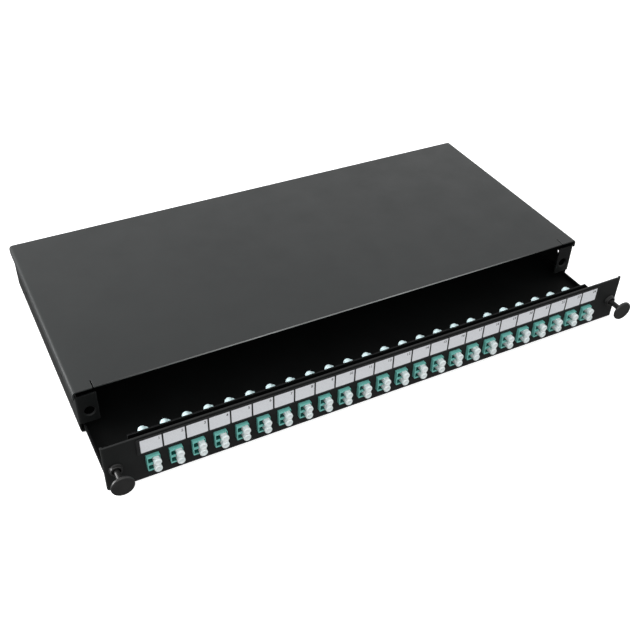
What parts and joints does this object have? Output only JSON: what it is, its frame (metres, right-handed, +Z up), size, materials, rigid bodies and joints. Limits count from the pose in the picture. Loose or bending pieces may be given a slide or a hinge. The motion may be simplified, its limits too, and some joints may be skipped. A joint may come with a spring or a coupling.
{
  "type": "fibre patch panel",
  "caption": "Rack-height fibre-optic patch panel: a shallow steel housing with a pull-out drawer, duplex adapters in a row with dust caps, a label strip and two push-pull latch plungers.",
  "frame": {"origin": "centre of the housing's underside, on the face that rests on a surface", "axes": "+X to the right along the long side, +Y from the front towards the rear, so the drawer pulls out along -Y, +Z up"},
  "size_m": [0.445, 0.2936, 0.0404],
  "materials": {
    "powder_coat": "fine-textured satin black powder coat",
    "panel_coat": "fine-textured matt black powder coat",
    "strip_plastic": "satin black plastic",
    "label_card": "matt white label stock",
    "aqua_plastic": "satin aqua moulded plastic",
    "cap_plastic": "satin milky white moulded plastic",
    "nylon": "satin black moulded nylon",
    "gland_plastic": "satin black moulded nylon"
  },
  "bodies": {
    "housing": {"chassis_base": "powder_coat", "top_cover": "powder_coat", "cable_gland": "gland_plastic", "blanking_plug": "gland_plastic"},
    "drawer": {"tray": "panel_coat", "front_panel": "panel_coat", "label_strip": "strip_plastic", "splice_cassette": "strip_plastic", "plunger_collar_left": "nylon", "plunger_collar_right": "nylon", "adapter_01": "aqua_plastic", "adapter_02": "aqua_plastic", "adapter_03": "aqua_plastic", "adapter_04": "aqua_plastic", "adapter_05": "aqua_plastic", "adapter_06": "aqua_plastic", "adapter_07": "aqua_plastic", "adapter_08": "aqua_plastic", "adapter_09": "aqua_plastic", "adapter_10": "aqua_plastic", "adapter_11": "aqua_plastic", "adapter_12": "aqua_plastic", "adapter_13": "aqua_plastic", "adapter_14": "aqua_plastic", "adapter_15": "aqua_plastic", "adapter_16": "aqua_plastic", "adapter_17": "aqua_plastic", "adapter_18": "aqua_plastic", "adapter_19": "aqua_plastic", "adapter_20": "aqua_plastic", "adapter_21": "aqua_plastic", "adapter_22": "aqua_plastic", "adapter_23": "aqua_plastic", "adapter_24": "aqua_plastic", "dust_cap_01": "cap_plastic", "dust_cap_02": "cap_plastic", "dust_cap_03": "cap_plastic", "dust_cap_04": "cap_plastic", "dust_cap_05": "cap_plastic", "dust_cap_06": "cap_plastic", "dust_cap_07": "cap_plastic", "dust_cap_08": "cap_plastic", "dust_cap_09": "cap_plastic", "dust_cap_10": "cap_plastic", "dust_cap_11": "cap_plastic", "dust_cap_12": "cap_plastic", "dust_cap_13": "cap_plastic", "dust_cap_14": "cap_plastic", "dust_cap_15": "cap_plastic", "dust_cap_16": "cap_plastic", "dust_cap_17": "cap_plastic", "dust_cap_18": "cap_plastic", "dust_cap_19": "cap_plastic", "dust_cap_20": "cap_plastic", "dust_cap_21": "cap_plastic", "dust_cap_22": "cap_plastic", "dust_cap_23": "cap_plastic", "dust_cap_24": "cap_plastic"},
    "left_plunger": {"plunger_left": "nylon"},
    "right_plunger": {"plunger_right": "nylon"}
  },
  "joints": [
    {"name": "drawer_slide", "type": "slide", "parent": "housing", "child": "drawer", "axis": [0, -1, 0], "range_m": [-0.057, 0.07]},
    {"name": "left_plunger_push", "type": "slide", "parent": "drawer", "child": "left_plunger", "axis": [0, 1, 0], "range_m": [0, 0.0115]},
    {"name": "right_plunger_push", "type": "slide", "parent": "drawer", "child": "right_plunger", "axis": [0, 1, 0], "range_m": [0, 0.0115]}
  ]
}
